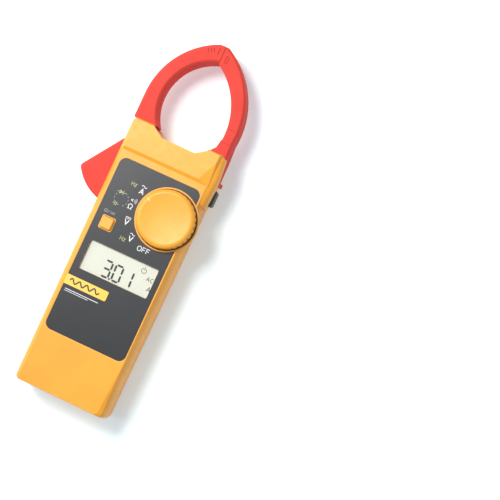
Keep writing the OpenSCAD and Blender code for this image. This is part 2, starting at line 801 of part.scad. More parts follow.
module battery_cells() {
  color([0.25, 0.27, 0.3]) placed() for (s = [-1, 1])
    translate([s * 6, cell_y, cell_z]) rotate([-90, 0, 0]) {
      cylinder(r = cell_r, h = cell_len - 0.8);
      translate([0, 0, s > 0 ? cell_len - 0.9 : -0.7]) cylinder(r = 1.9, h = 0.8);
    }
}

module battery_plus_contacts() {
  color(steel) placed() {
    box(1.6, 10.4, cell_y + cell_len + 0.1, cell_y + cell_len + 0.5, 4, 12.4);
    box(-10.4, -1.6, cell_y - 1.4, cell_y - 1, 4, 12.4);
  }
}

module battery_springs() {
  color(steel) placed() {
    for (k = [0 : 3]) {
      translate([-6, cell_y + cell_len - 0.3 + k * 0.35, cell_z]) rotate([-90, 0, 0])
        rotate_extrude($fn = 32) translate([2 + k * 0.45, 0]) circle(r = 0.25, $fn = 16);
      translate([6, cell_y - 0.45 - k * 0.35, cell_z]) rotate([-90, 0, 0])
        rotate_extrude($fn = 32) translate([2 + k * 0.45, 0]) circle(r = 0.25, $fn = 16);
    }
    box(-10.4, -1.6, cell_y + cell_len + 1.1, cell_y + cell_len + 1.5, 4, 12.4);
    box(1.6, 10.4, cell_y - 2, cell_y - 1.7, 4, 12.4);
  }
}

module wire_run(x, y0, y1, z) {
  translate([x, y0, z]) rotate([-90, 0, 0]) cylinder(r = 0.55, h = y1 - y0, $fn = 24);
}

module battery_leads() {
  color([0.8, 0.1, 0.1]) placed() for (x = [-22, 22]) {
    wire_run(x, 26, 66, 12);
    translate([x, 66, 12]) cylinder(r = 0.55, h = 5.9, $fn = 24);
  }
}

module coil_leads() {
  color([0.15, 0.2, 0.6]) placed() for (x = [2.5, 5.2]) {
    wire_run(x, 118, 126, 12);
    translate([x, 118, 12]) cylinder(r = 0.55, h = 5.9, $fn = 24);
  }
}

front_case();
rear_case();
battery_door();
battery_door_screw();
case_screws();
front_label();
display_window();
display_frame();
lcd_glass();
lcd_backing();
zebra_strips();
main_board();
main_chip();
small_chips();
chip_resistors();
input_resistors();
capacitors();
crystal();
trimmers();
thermistor();
buzzer();
board_screws();
dial_seal();
dial_knob();
switch_rotor();
rotor_contacts();
detent_balls();
detent_springs();
function_button();
button_dome();
hold_button();
hold_switch();
fixed_jaw_front();
fixed_jaw_rear();
fixed_core();
fixed_coil();
core_yoke();
moving_jaw_front();
moving_jaw_rear();
moving_core();
moving_coil();
jaw_pivot_pin();
jaw_spring();
com_jack();
volt_jack();
com_jack_shroud();
volt_jack_shroud();
battery_cells();
battery_plus_contacts();
battery_springs();
battery_leads();
coil_leads();
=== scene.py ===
import math

import bmesh
import bpy
from mathutils import Matrix, Vector


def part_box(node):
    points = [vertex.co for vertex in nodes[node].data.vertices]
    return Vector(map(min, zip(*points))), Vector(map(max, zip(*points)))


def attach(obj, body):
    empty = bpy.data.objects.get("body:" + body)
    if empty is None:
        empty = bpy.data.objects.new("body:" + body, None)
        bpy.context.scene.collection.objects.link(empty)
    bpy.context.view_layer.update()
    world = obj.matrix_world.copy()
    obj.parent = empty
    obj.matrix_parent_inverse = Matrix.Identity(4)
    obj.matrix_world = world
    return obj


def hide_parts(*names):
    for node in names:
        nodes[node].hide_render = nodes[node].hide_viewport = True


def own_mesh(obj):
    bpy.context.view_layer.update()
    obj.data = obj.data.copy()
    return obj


# Finishes, printed legends, display reading, camera and lights for a clamp meter. Lengths are in
# metres; a length given in millimetres is multiplied by MM.
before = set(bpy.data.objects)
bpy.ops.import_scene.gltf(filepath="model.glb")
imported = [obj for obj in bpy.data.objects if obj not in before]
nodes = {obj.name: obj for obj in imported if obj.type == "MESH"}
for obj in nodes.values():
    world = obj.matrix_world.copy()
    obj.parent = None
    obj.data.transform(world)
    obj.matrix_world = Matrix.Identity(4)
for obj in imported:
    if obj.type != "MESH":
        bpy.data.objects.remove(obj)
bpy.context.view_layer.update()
MM = 0.001

# the part of a noise's range that it mostly keeps to; a span stretches it from end to end
LOW, HIGH = 0.3, 0.7


# ---------------------------------------------------------------- node helpers
class Tree:
    """A material's node tree with short calls for what every finish needs."""

    def __init__(self, name):
        self.material = bpy.data.materials.new(name)
        self.material.use_nodes = True
        self.tree = self.material.node_tree
        self.tree.nodes.clear()
        self.out = self.add("ShaderNodeOutputMaterial")
        self.coords = self.add("ShaderNodeTexCoord").outputs["Object"]

    def add(self, kind, **settings):
        node = self.tree.nodes.new(kind)
        for key, value in settings.items():
            setattr(node, key, value)
        return node

    def link(self, a, b):
        self.tree.links.new(a, b)

    def fill(self, socket, value):
        """Sets a socket to a number or a colour, or links it to another node's output."""
        if isinstance(value, (int, float)):
            socket.default_value = value
        elif isinstance(value, tuple):
            socket.default_value = (*value, 1.0)
        else:
            self.link(value, socket)

    def stretched(self, scale):
        node = self.add("ShaderNodeMapping")
        node.inputs["Scale"].default_value = scale
        self.link(self.coords, node.inputs["Vector"])
        return node.outputs["Vector"]

    def noise(self, scale, detail=2.0, rough=0.5, vector=None):
        node = self.add("ShaderNodeTexNoise")
        node.inputs["Scale"].default_value = scale
        node.inputs["Detail"].default_value = detail
        node.inputs["Roughness"].default_value = rough
        self.link(vector or self.coords, node.inputs["Vector"])
        return node.outputs["Fac"]

    def span(self, value, low, high, to_low=0.0, to_high=1.0):
        node = self.add("ShaderNodeMapRange")
        node.inputs["From Min"].default_value = low
        node.inputs["From Max"].default_value = high
        node.inputs["To Min"].default_value = to_low
        node.inputs["To Max"].default_value = to_high
        self.link(value, node.inputs["Value"])
        return node.outputs["Result"]

    def math(self, kind, a, b=None):
        node = self.add("ShaderNodeMath", operation=kind)
        for socket, value in zip(node.inputs, (a, b)):
            if value is not None:
                self.fill(socket, value)
        return node.outputs["Value"]

    def blend(self, fac, a, b):
        """Colour a where fac is 0, colour b where it is 1."""
        node = self.add("ShaderNodeMix", data_type="RGBA", blend_type="MIX")
        # a mix node has other sockets between these, for numbers and vectors
        for index, value in ((0, fac), (6, a), (7, b)):
            self.fill(node.inputs[index], value)
        return node.outputs[2]

    def edges(self, radius):
        """The normal rounded over the radius, and a mask that is 1 along sharp edges."""
        bevel = self.add("ShaderNodeBevel", samples=6)
        bevel.inputs["Radius"].default_value = radius
        geometry = self.add("ShaderNodeNewGeometry")
        dot = self.add("ShaderNodeVectorMath", operation="DOT_PRODUCT")
        self.link(bevel.outputs["Normal"], dot.inputs[0])
        self.link(geometry.outputs["Normal"], dot.inputs[1])
        flat, sharp = 0.985, 0.8
        return bevel.outputs["Normal"], self.span(dot.outputs["Value"], flat, sharp)

    def bump(self, height, distance, strength=1.0, normal=None):
        node = self.add("ShaderNodeBump")
        node.inputs["Distance"].default_value = distance
        node.inputs["Strength"].default_value = strength
        self.link(height, node.inputs["Height"])
        if normal is not None:
            self.link(normal, node.inputs["Normal"])
        return node.outputs["Normal"]

    def principled(self, **values):
        node = self.add("ShaderNodeBsdfPrincipled")
        for key, value in values.items():
            self.fill(node.inputs[key.replace("_", " ")], value)
        return node.outputs["BSDF"]

    def done(self, shader):
        self.link(shader, self.out.inputs["Surface"])
        return self.material


def shade(colour, factor):
    return tuple(min(1.0, c * factor) for c in colour)


def toward_white(colour, share):
    return tuple(c * (1 - share) + share for c in colour)


def moulded(name, colour, rough=0.42, grain=2400, depth=0.03 * MM, wear_and_highlight_colour=None, radius=0.35 * MM,
            cloud=0.10, specular=0.4, wear=0.5, edge_highlight=0.0):
    """Moulded plastic: a fine spark texture, slow colour drift, rounded edges lightened by wear,
    and, if asked for, a painted highlight that makes the edges paler.
    A noise's scale is in features per metre here and below."""
    t = Tree(name)
    drift = t.noise(34, 3)
    patches = t.noise(210, 4, 0.6)
    darkest, lightest = shade(colour, 1 - cloud), shade(colour, 1 + cloud * 0.6)
    base = t.blend(t.span(drift, 0.35, 0.65), darkest, lightest)
    base = t.blend(t.span(patches, 0.4, 0.7, 0, 0.35), base, shade(colour, 0.93))
    normal, edge = t.edges(radius)
    scuffs = t.span(t.noise(900, 3, 0.65), 0.42, 0.6)
    wear_and_highlight = t.math("MULTIPLY", t.math("MULTIPLY", edge, scuffs), wear)
    # painted highlight: edges painted paler on top of the wear, standing for light caught along
    # them
    if edge_highlight:
        wear_and_highlight = t.math("MAXIMUM", wear_and_highlight, t.math("MULTIPLY", edge, edge_highlight))
    base = t.blend(wear_and_highlight, base, wear_and_highlight_colour or toward_white(colour, 0.4))
    spark = t.noise(grain, 2, 0.6)
    moulding_waves = t.noise(60, 2)
    normal = t.bump(moulding_waves, 0.6 * MM, 0.25, normal)
    normal = t.bump(spark, depth, 0.8, normal)
    roughness = t.span(spark, LOW, HIGH, rough - 0.06, rough + 0.08)
    roughness = t.math("ADD", roughness, t.span(patches, LOW, HIGH, -0.04, 0.05))
    return t.done(t.principled(Base_Color=base, Roughness=roughness, Normal=normal,
                               Specular_IOR_Level=specular))


def metal(name, colour, rough=0.28, along=(40, 40, 1), depth=0.02 * MM, radius=0.08 * MM,
          stain=0.25):
    """Drawn or stamped metal: streaks along one axis, tarnish in patches, bright edges."""
    t = Tree(name)
    streak = t.noise(90, 3, 0.6, t.stretched(along))
    tarnish = t.noise(420, 4, 0.6)
    base = t.blend(t.span(tarnish, 0.45, 0.75, 0, stain), colour, shade(colour, 0.55))
    normal, edge = t.edges(radius)
    base = t.blend(t.math("MULTIPLY", edge, 0.6), base, toward_white(colour, 0.6))
    normal = t.bump(streak, depth, 0.6, normal)
    roughness = t.math("ADD", t.span(streak, LOW, HIGH, rough - 0.08, rough + 0.1),
                       t.span(tarnish, 0.4, 0.7, 0.0, 0.12))
    return t.done(t.principled(Base_Color=base, Roughness=roughness, Normal=normal, Metallic=1.0))


def printed_label(name, colour):
    """Printed overlay film: a very fine matt emboss and faint streaks from handling."""
    t = Tree(name)
    base = t.blend(t.span(t.noise(26, 2), 0.35, 0.65), shade(colour, 0.93), shade(colour, 1.08))
    base = t.blend(t.span(t.noise(1500, 2, 0.7), 0.55, 0.75, 0, 0.25), base, shade(colour, 1.3))
    fine = t.noise(5200, 1, 0.5)
    normal, edge = t.edges(0.06 * MM)
    # painted highlight: the film's edges painted lighter
    base = t.blend(t.math("MULTIPLY", edge, 0.4), base, shade(colour, 1.8))
    normal = t.bump(fine, 0.01 * MM, 0.5, normal)
    handling = t.noise(120, 4, 0.7, t.stretched((1, 0.3, 1)))
    roughness = t.math("ADD", t.span(fine, LOW, HIGH, 0.34, 0.44),
                       t.span(handling, 0.4, 0.65, -0.015, 0.02))
    return t.done(t.principled(Base_Color=base, Roughness=roughness, Normal=normal,
                               Specular_IOR_Level=0.3))


def ink(name, colour, rough=0.45):
    """Screen-printed ink: pinholes where the emboss shows through and a slightly rough film."""
    t = Tree(name)
    grain = t.noise(4200, 2, 0.6)
    base = t.blend(t.span(grain, 0.58, 0.78, 0, 0.5), colour, shade(colour, 0.6))
    base = t.blend(t.span(t.noise(300, 2), 0.4, 0.7, 0, 0.2), base, shade(colour, 0.85))
    normal = t.bump(grain, 0.006 * MM, 0.5)
    return t.done(t.principled(Base_Color=base, Normal=normal,
                               Roughness=t.span(grain, LOW, HIGH, rough - 0.05, rough + 0.1)))


def clear_window(name):
    """Hard-coated clear acrylic: see-through, with a mirror share that grows at a slant."""
    t = Tree(name)
    haze = t.noise(700, 3, 0.6)
    normal = t.bump(t.noise(90, 2), 0.2 * MM, 0.12)
    see = t.add("ShaderNodeBsdfTransparent")
    see.inputs["Color"].default_value = (0.985, 0.985, 0.975, 1)
    gloss = t.add("ShaderNodeBsdfGlossy")
    t.link(t.span(haze, LOW, HIGH, 0.03, 0.09), gloss.inputs["Roughness"])
    t.link(normal, gloss.inputs["Normal"])
    slant = t.add("ShaderNodeLayerWeight")
    slant.inputs["Blend"].default_value = 0.5
    head_on, grazing = 0.035, 1.0
    mirror = t.span(t.math("POWER", slant.outputs["Facing"], 5.0), 0.0, 1.0, head_on, grazing)
    mix = t.add("ShaderNodeMixShader")
    t.link(mirror, mix.inputs[0])
    t.link(see.outputs["BSDF"], mix.inputs[1])
    t.link(gloss.outputs["BSDF"], mix.inputs[2])
    return t.done(mix.outputs["Shader"])


def lcd_film(name, colour):
    """Front polariser of the display: greenish grey with a faint weave of electrode lines."""
    t = Tree(name)
    base = t.blend(t.span(t.noise(22, 2), LOW, HIGH), shade(colour, 0.96), shade(colour, 1.04))
    lines = t.noise(260, 1, 0.5, t.stretched((12, 0.3, 1)))
    base = t.blend(t.span(lines, 0.5, 0.7, 0, 0.3), base, shade(colour, 0.95))
    normal = t.bump(t.noise(2600, 1), 0.004 * MM, 0.4, t.edges(0.06 * MM)[0])
    return t.done(t.principled(Base_Color=base, Normal=normal,
                               Roughness=t.span(t.noise(500, 2), LOW, HIGH, 0.3, 0.42)))


def circuit_board(name, colour):
    """Solder mask over copper: tracks show as slightly raised lighter lines."""
    t = Tree(name)
    grid = t.add("ShaderNodeTexBrick", offset=0.35, squash=1.6)
    for key, value in (("Scale", 260), ("Mortar Size", 0.035), ("Mortar Smooth", 0.1),
                       ("Brick Width", 1.3), ("Row Height", 0.22)):
        grid.inputs[key].default_value = value
    t.link(t.coords, grid.inputs["Vector"])
    tracks = grid.outputs["Fac"]
    spread = t.span(t.noise(160, 2), 0.46, 0.54)
    tracks = t.math("MULTIPLY", tracks, spread)
    base = t.blend(tracks, colour, shade(colour, 2.1))
    base = t.blend(t.span(t.noise(900, 2), 0.5, 0.7, 0, 0.3), base, shade(colour, 0.7))
    normal = t.bump(tracks, 0.05 * MM, 0.8, t.edges(0.1 * MM)[0])
    return t.done(t.principled(Base_Color=base, Normal=normal, Coat_Weight=0.3, Coat_Roughness=0.15,
                               Roughness=t.span(t.noise(1200), LOW, HIGH, 0.22, 0.36)))


def laminated(name, colour):
    """Stacked core sheets: fine lines across the stack, with oil stains."""
    t = Tree(name)
    wave = t.add("ShaderNodeTexWave", bands_direction="Z")
    for key, value in (("Scale", 450), ("Distortion", 0.6), ("Detail", 2), ("Detail Scale", 6)):
        wave.inputs[key].default_value = value
    t.link(t.coords, wave.inputs["Vector"])
    lines = wave.outputs["Fac"]
    base = t.blend(t.span(lines, 0.2, 0.8), shade(colour, 0.55), colour)
    base = t.blend(t.span(t.noise(300, 4), 0.5, 0.7, 0, 0.5), base, shade(colour, 0.6))
    normal = t.bump(lines, 0.08 * MM, 0.7, t.edges(0.2 * MM)[0])
    return t.done(t.principled(Base_Color=base, Normal=normal, Metallic=1.0,
                               Roughness=t.span(t.noise(900, 3), LOW, HIGH, 0.3, 0.5)))


def wound(name, colour):
    """Enamelled winding under clear tape: turns run round the bobbin."""
    t = Tree(name)
    wave = t.add("ShaderNodeTexWave", bands_direction="Y")
    for key, value in (("Scale", 620), ("Distortion", 1.2), ("Detail", 2), ("Detail Scale", 4)):
        wave.inputs[key].default_value = value
    t.link(t.coords, wave.inputs["Vector"])
    turns = wave.outputs["Fac"]
    base = t.blend(turns, shade(colour, 0.45), colour)
    base = t.blend(t.span(t.noise(250, 3), 0.45, 0.65, 0, 0.4), base, shade(colour, 0.7))
    normal = t.bump(turns, 0.15 * MM, 0.9, t.edges(0.2 * MM)[0])
    return t.done(t.principled(Base_Color=base, Normal=normal, Coat_Weight=0.5, Coat_Roughness=0.2,
                               Roughness=t.span(t.noise(800), LOW, HIGH, 0.3, 0.45)))


def floor_finish(name):
    """Matt studio floor; a little glow of its own keeps the shadows soft and pale."""
    t = Tree(name)
    base = t.blend(t.span(t.noise(6, 2), LOW, HIGH), (0.82, 0.91, 0.92), (0.84, 0.93, 0.94))
    roughness = t.span(t.noise(40), LOW, HIGH, 0.85, 0.95)
    return t.done(t.principled(Base_Color=base, Roughness=roughness, Specular_IOR_Level=0.0,
                               Emission_Color=(0.86, 0.94, 1.0), Emission_Strength=0.29))


# ---------------------------------------------------------------- finishes, one for each slot
YELLOW = (0.87, 0.350, 0.026)
KNOB = (0.88, 0.375, 0.030)
RED = (0.70, 0.068, 0.052)
LABEL = (0.026, 0.026, 0.0275)

finishes = {
    # case and dial: the pale edge colour serves both for wear and for a painted highlight along the
    # edges
    "case_yellow": moulded("case_plastic", YELLOW, 0.42, wear_and_highlight_colour=(1.0, 0.78, 0.36), edge_highlight=0.8,
                           radius=0.3 * MM),
    "dial_yellow": moulded("dial_plastic", KNOB, 0.40, wear_and_highlight_colour=(1.0, 0.78, 0.40), edge_highlight=0.25,
                           radius=0.3 * MM),
    "screw_steel": metal("zinc_steel", (0.62, 0.62, 0.64), 0.32),
    "pin_steel": metal("bright_steel", (0.70, 0.70, 0.72), 0.22),
    "label_grey": printed_label("label_film", LABEL),
    "window_clear": clear_window("window_acrylic"),
    "frame_black": moulded("frame_plastic", (0.02, 0.02, 0.021), 0.5, wear_and_highlight_colour=(0.10, 0.10, 0.10)),
    "lcd_glass": lcd_film("lcd_polariser", (0.72, 0.715, 0.62)),
    "lcd_backing": moulded("reflector_film", (0.72, 0.74, 0.68), 0.35, radius=0.1 * MM),
    "zebra_rubber": moulded("zebra_silicone", (0.45, 0.16, 0.20), 0.6, grain=1400),
    "board_green": circuit_board("solder_mask", (0.012, 0.10, 0.03)),
    "chip_black": moulded("chip_epoxy", (0.018, 0.018, 0.02), 0.55, grain=3000,
                          wear_and_highlight_colour=(0.08, 0.08, 0.08)),
    "resistor_blue": moulded("resistor_lacquer", (0.05, 0.16, 0.34), 0.3, grain=1800),
    "capacitor_sleeve": moulded("capacitor_sleeve", (0.04, 0.05, 0.09), 0.3, grain=1600),
    "crystal_can": metal("crystal_can", (0.68, 0.69, 0.71), 0.3),
    "thermistor_ceramic": moulded("thermistor_lacquer", (0.55, 0.36, 0.04), 0.35, grain=1500),
    "rotor_white": moulded("rotor_acetal", (0.78, 0.75, 0.66), 0.4, grain=2000),
    "contact_brass": metal("contact_brass", (0.78, 0.56, 0.22), 0.26),
    "key_grey": moulded("key_rubber", (0.050, 0.052, 0.060), 0.5, grain=2600,
                        wear_and_highlight_colour=(0.14, 0.14, 0.15)),
    "jaw_red": moulded("jaw_plastic", RED, 0.46, wear_and_highlight_colour=(0.95, 0.16, 0.11), cloud=0.06,
                       specular=0.02),
    "core_steel": laminated("core_laminations", (0.42, 0.43, 0.45)),
    "coil_copper": wound("coil_winding", (0.60, 0.24, 0.08)),
    "jack_black": moulded("shroud_black", (0.015, 0.015, 0.016), 0.45, wear_and_highlight_colour=(0.09, 0.09, 0.09)),
    "jack_red": moulded("shroud_red", (0.48, 0.015, 0.012), 0.45, wear_and_highlight_colour=(0.7, 0.2, 0.15)),
    "cell_sleeve": moulded("cell_sleeve", (0.03, 0.032, 0.04), 0.28, grain=1500,
                           wear_and_highlight_colour=(0.3, 0.3, 0.3)),
    "lead_red": moulded("lead_red", (0.45, 0.015, 0.012), 0.45, grain=1500, radius=0.1 * MM),
    "lead_blue": moulded("lead_blue", (0.015, 0.03, 0.28), 0.45, grain=1500, radius=0.1 * MM),
}

for node in nodes.values():
    for index, material in enumerate(node.data.materials):
        node.data.materials[index] = finishes[material.name.split(".")[0]]


# ---------------------------------------------------------------- mesh helpers
def new_piece(name, bm, material, body):
    """Turns a bmesh into a piece that rides on a body and wears the given finish."""
    bmesh.ops.recalc_face_normals(bm, faces=bm.faces)
    mesh = bpy.data.meshes.new(name)
    bm.to_mesh(mesh)
    bm.free()
    mesh.materials.append(material)
    piece = bpy.data.objects.new(name, mesh)
    bpy.context.scene.collection.objects.link(piece)
    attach(piece, body)
    return piece


def slab(bm, outline, z0, z1):
    """A closed flat solid with the given outline."""
    low = [bm.verts.new((x, y, z0)) for x, y in outline]
    high = [bm.verts.new((x, y, z1)) for x, y in outline]
    count = len(outline)
    bm.faces.new(high)
    bm.faces.new(list(reversed(low)))
    for i in range(count):
        j = (i + 1) % count
        bm.faces.new((low[i], low[j], high[j], high[i]))


def ribbon(bm, points, width, z0, z1, closed=False):
    """A flat solid line of even width through the points, with mitred corners."""
    sharpest_mitre = 0.35
    count = len(points)
    points = [Vector(p) for p in points]
    left, right = [], []
    for i, p in enumerate(points):
        before = points[i - 1] if i or closed else None
        after = points[(i + 1) % count] if i < count - 1 or closed else None
        a = (p - before).normalized() if before is not None else (after - p).normalized()
        b = (after - p).normalized() if after is not None else a
        na, nb = Vector((-a.y, a.x)), Vector((-b.y, b.x))
        side = (na + nb).normalized()
        side *= width / 2 / max(sharpest_mitre, side.dot(na))
        left.append(p + side)
        right.append(p - side)
    rings = []
    for p, q in zip(left, right):
        corners = ((p, z0), (p, z1), (q, z1), (q, z0))
        rings.append([bm.verts.new((v.x, v.y, z)) for v, z in corners])
    for i in range(count if closed else count - 1):
        a, b = rings[i], rings[(i + 1) % count]
        for k in range(4):
            bm.faces.new((a[k], a[(k + 1) % 4], b[(k + 1) % 4], b[k]))
    if not closed:
        bm.faces.new(rings[0])
        bm.faces.new(list(reversed(rings[-1])))


def arc(cx, cy, rx, ry, start, end, steps=20):
    """Points along an ellipse from one angle to another, in degrees, both ends included."""
    angles = [math.radians(start + (end - start) * i / steps) for i in range(steps + 1)]
    return [(cx + rx * math.cos(a), cy + ry * math.sin(a)) for a in angles]


def ring(cx, cy, rx, ry, steps=28):
    """Points once round an ellipse, for a closed line."""
    return arc(cx, cy, rx, ry, 0, 360 * (steps - 1) / steps, steps - 1)


def sine(x, y, length, height, waves, steps):
    """Points along a sine wave that starts at x, y."""
    return [(x + length * i / steps, y + height * math.sin(2 * math.pi * waves * i / steps))
            for i in range(steps + 1)]


# strokes of each glyph in a box one unit high; the O alone is a closed line
GLYPHS = {
    "A": [[(0, 0), (0.42, 1.0), (0.84, 0)], [(0.16, 0.32), (0.68, 0.32)]],
    "V": [[(0, 1.0), (0.42, 0), (0.84, 1.0)]],
    "C": [arc(0.42, 0.5, 0.42, 0.5, 50, 310)],
    "O": [ring(0.42, 0.5, 0.42, 0.5)],
    "F": [[(0, 0), (0, 1.0), (0.62, 1.0)], [(0, 0.52), (0.55, 0.52)]],
    "H": [[(0, 0), (0, 1.0)], [(0.66, 0), (0.66, 1.0)], [(0, 0.5), (0.66, 0.5)]],
    "z": [[(0, 0.68), (0.46, 0.68), (0, 0), (0.48, 0)]],
    "ohm": [[(0, 0.03), (0.3, 0.03)] + arc(0.46, 0.58, 0.42, 0.42, 235, -55)
            + [(0.62, 0.03), (0.92, 0.03)]],
}
GLYPH_GAP = 0.28


def word(bm, text, x, y, height, width, z0, z1):
    """Draws glyphs on a baseline from x, y, all in millimetres but the two heights z."""
    for glyph in text:
        for points in GLYPHS[glyph]:
            ribbon(bm, [((x + px * height) * MM, (y + py * height) * MM) for px, py in points],
                   width * MM, z0, z1, closed=glyph == "O")
        reach = max(px for points in GLYPHS[glyph] for px, _ in points)
        x += (reach + GLYPH_GAP) * height


# ---------------------------------------------------------------- print on the front label
label_low, label_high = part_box("front_label")
PRINT_TOP = label_high.z + 0.04 * MM
PRINT_FOOT = label_high.z - 0.05 * MM
OVERPRINT = 0.03 * MM
# the label's lower edge stands this far above the datum, in millimetres
DATUM_TO_LABEL = 29.75
mid_x = (label_low.x + label_high.x) / 2 / MM
foot_y = label_low.y / MM - DATUM_TO_LABEL


def on_label(x, y):
    """A point given from the label's centreline and the case's lower datum, in millimetres."""
    return mid_x + x, foot_y + y


def in_metres(points):
    """A list of such points, in metres."""
    return [(x * MM, y * MM) for x, y in (on_label(*p) for p in points)]


white_ink = ink("ink_white", (0.80, 0.80, 0.80))
pale_ink = ink("ink_pale", (0.52, 0.52, 0.53))
lime_ink = ink("ink_lime", (0.36, 0.40, 0.15))
grey_ink = ink("ink_grey", (0.30, 0.30, 0.32))
yellow_ink = ink("ink_yellow", (0.95, 0.55, 0.06))
black_ink = ink("ink_black", (0.02, 0.02, 0.02))


def label_word(bm, text, x, y, height, width):
    word(bm, text, *on_label(x, y), height, width, PRINT_FOOT, PRINT_TOP)


def label_line(bm, points, width, closed=False, lift=0.0):
    ribbon(bm, in_metres(points), width * MM, PRINT_FOOT, PRINT_TOP + lift, closed)


def label_patch(bm, points, lift=0.0):
    slab(bm, in_metres(points), PRINT_FOOT, PRINT_TOP + lift)


def wave_mark(bm, x, y, length, height, width):
    """The alternating current sign, centred on x, y."""
    label_line(bm, sine(x - length / 2, y, length, height, 1, 16), width)


# widths of the printed lines, in millimetres
BOLD, PLAIN, FINE, HAIR = 0.36, 0.34, 0.32, 0.26

bm = bmesh.new()
# alternating current, then alternating and direct voltage, then off and resistance
label_word(bm, "A", -7.2, 116.0, 2.7, 0.5)
wave_mark(bm, -5.7, 120.3, 3.0, 0.45, BOLD)
label_word(bm, "V", -1.9, 90.6, 2.6, 0.5)
wave_mark(bm, -0.7, 94.4, 2.8, 0.42, BOLD)
label_word(bm, "V", -7.8, 97.9, 2.6, 0.5)
label_line(bm, [(-8.2, 101.9), (-5.0, 101.9)], PLAIN)
for dash in range(3):
    left = -8.2 + dash * 1.2
    label_line(bm, [(left, 101.1), (left + 0.8, 101.1)], PLAIN)
label_word(bm, "OFF", 4.7, 87.9, 2.6, 0.37)
label_word(bm, ["ohm"], -9.7, 106.3, 2.7, 0.38)
new_piece("legend_white", bm, white_ink, "body")

bm = bmesh.new()
# continuity sound mark: a small speaker with three sound waves
label_patch(bm, [(-9.5, 110.8), (-9.0, 110.8), (-8.3, 110.2),
                 (-8.3, 112.2), (-9.0, 111.6), (-9.5, 111.6)])
for step in range(3):
    radius = 0.75 + step * 0.62
    label_line(bm, arc(-8.1, 111.2, radius, radius, -48, 48, 8), HAIR)
new_piece("legend_sound", bm, pale_ink, "body")

bm = bmesh.new()
label_word(bm, "Hz", -12.9, 118.4, 2.1, PLAIN)
label_word(bm, "Hz", -6.2, 89.2, 2.1, PLAIN)
# diode mark: triangle, bar and two leads
label_patch(bm, [(-17.0, 113.9), (-17.0, 111.5), (-15.0, 112.7)])
label_line(bm, [(-14.9, 113.9), (-14.9, 111.5)], BOLD)
label_line(bm, [(-18.3, 112.7), (-16.9, 112.7)], FINE)
label_line(bm, [(-14.8, 112.7), (-13.6, 112.7)], FINE)
# capacitor mark: two plates and two leads
label_line(bm, [(-16.9, 107.0), (-16.9, 104.8)], BOLD)
label_line(bm, [(-16.0, 107.0), (-16.0, 104.8)], BOLD)
label_line(bm, [(-18.2, 105.9), (-17.0, 105.9)], FINE)
label_line(bm, [(-15.9, 105.9), (-14.7, 105.9)], FINE)
new_piece("legend_lime", bm, lime_ink, "body")

bm = bmesh.new()
# dashed ring round the diode and capacitor marks, open at the bottom
for start in range(-60, 240, 30):
    label_line(bm, arc(-14.6, 109.3, 3.9, 3.9, start, start + 16, 4), HAIR)
# button mark: a ring, a slash and two bars
label_line(bm, ring(-19.6, 100.4, 0.75, 0.75, 20), 0.28, closed=True)
label_line(bm, [(-18.3, 99.6), (-17.5, 101.2)], HAIR)
for row in (-0.35, 0.35):
    label_line(bm, [(-16.8, 100.3 + row), (-14.2, 100.3 + row)], HAIR)
new_piece("legend_grey", bm, grey_ink, "body")

# a plain stripe with a sine wave printed over it, and two rules below
bm = bmesh.new()
label_patch(bm, [(-24.1, 55.5), (0.4, 55.5), (0.9, 56.0), (0.9, 60.5), (0.4, 61.0), (-24.1, 61.0)],
            OVERPRINT)
new_piece("accent_stripe", bm, yellow_ink, "body")
bm = bmesh.new()
label_line(bm, sine(-21.4, 58.25, 17.6, 1.15, 4, 72), 0.8, lift=2 * OVERPRINT)
new_piece("accent_wave", bm, black_ink, "body")
bm = bmesh.new()
label_line(bm, [(-22.0, 53.2), (-2.2, 53.2)], 0.35)
label_line(bm, [(-22.0, 52.2), (-8.0, 52.2)], 0.25)
new_piece("rule_lines", bm, white_ink, "body")


# ---------------------------------------------------------------- pointer mark let into the dial
knob_low, knob_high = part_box("dial_knob")
POINTER_ANGLE, POINTER_RADIUS = math.radians(155), 13.9 * MM
POINTER_REACH, POINTER_ROUND, POINTER_HALF = 0.55, 0.4, 0.5
POINTER_FOOT, POINTER_TOP = knob_high.z - 0.95 * MM, knob_high.z - 0.45 * MM
along = Vector((math.cos(POINTER_ANGLE), math.sin(POINTER_ANGLE)))
across = Vector((-along.y, along.x))
knob_centre = ((knob_low + knob_high) / 2).to_2d()
middle = knob_centre + along * POINTER_RADIUS
bm = bmesh.new()
oval = (arc(POINTER_REACH, 0, POINTER_ROUND, POINTER_HALF, -90, 90, 10)
        + arc(-POINTER_REACH, 0, POINTER_ROUND, POINTER_HALF, 90, 270, 10))
slab(bm, [tuple(middle + (along * u + across * v) * MM) for u, v in oval],
     POINTER_FOOT, POINTER_TOP)
new_piece("dial_pointer", bm, ink("ink_cream", (0.95, 0.66, 0.30)), "dial")


# ---------------------------------------------------------------- dome below the function button
dome_low, dome_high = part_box("button_dome")
DOME_X, DOME_Y = (dome_low.x + dome_high.x) / 2, (dome_low.y + dome_high.y) / 2
# radius and height, in millimetres: plunger, thin web and foot outside, then the hollow inside
DOME_PROFILE = [(0, 4.28), (2.15, 4.28), (2.38, 4.08), (2.42, 2.9), (2.85, 2.35), (3.25, 0.75),
                (3.58, 0.5), (3.58, 0.02), (2.95, 0.02), (2.7, 0.5), (2.35, 2.0), (1.75, 2.5),
                (1.6, 3.1), (0, 3.1)]


def revolve(bm, profile, x, y, z, steps=48):
    """A closed solid of revolution; the profile starts and ends on the axis."""
    rings = []
    for radius, height in profile:
        points = ring(x, y, radius * MM, radius * MM, steps) if radius else [(x, y)]
        rings.append([bm.verts.new((px, py, z + height * MM)) for px, py in points])
    for a, b in zip(rings, rings[1:]):
        for i in range(steps):
            j = (i + 1) % steps
            corners = [a[i % len(a)], a[j % len(a)], b[j % len(b)], b[i % len(b)]]
            bm.faces.new(list(dict.fromkeys(corners)))


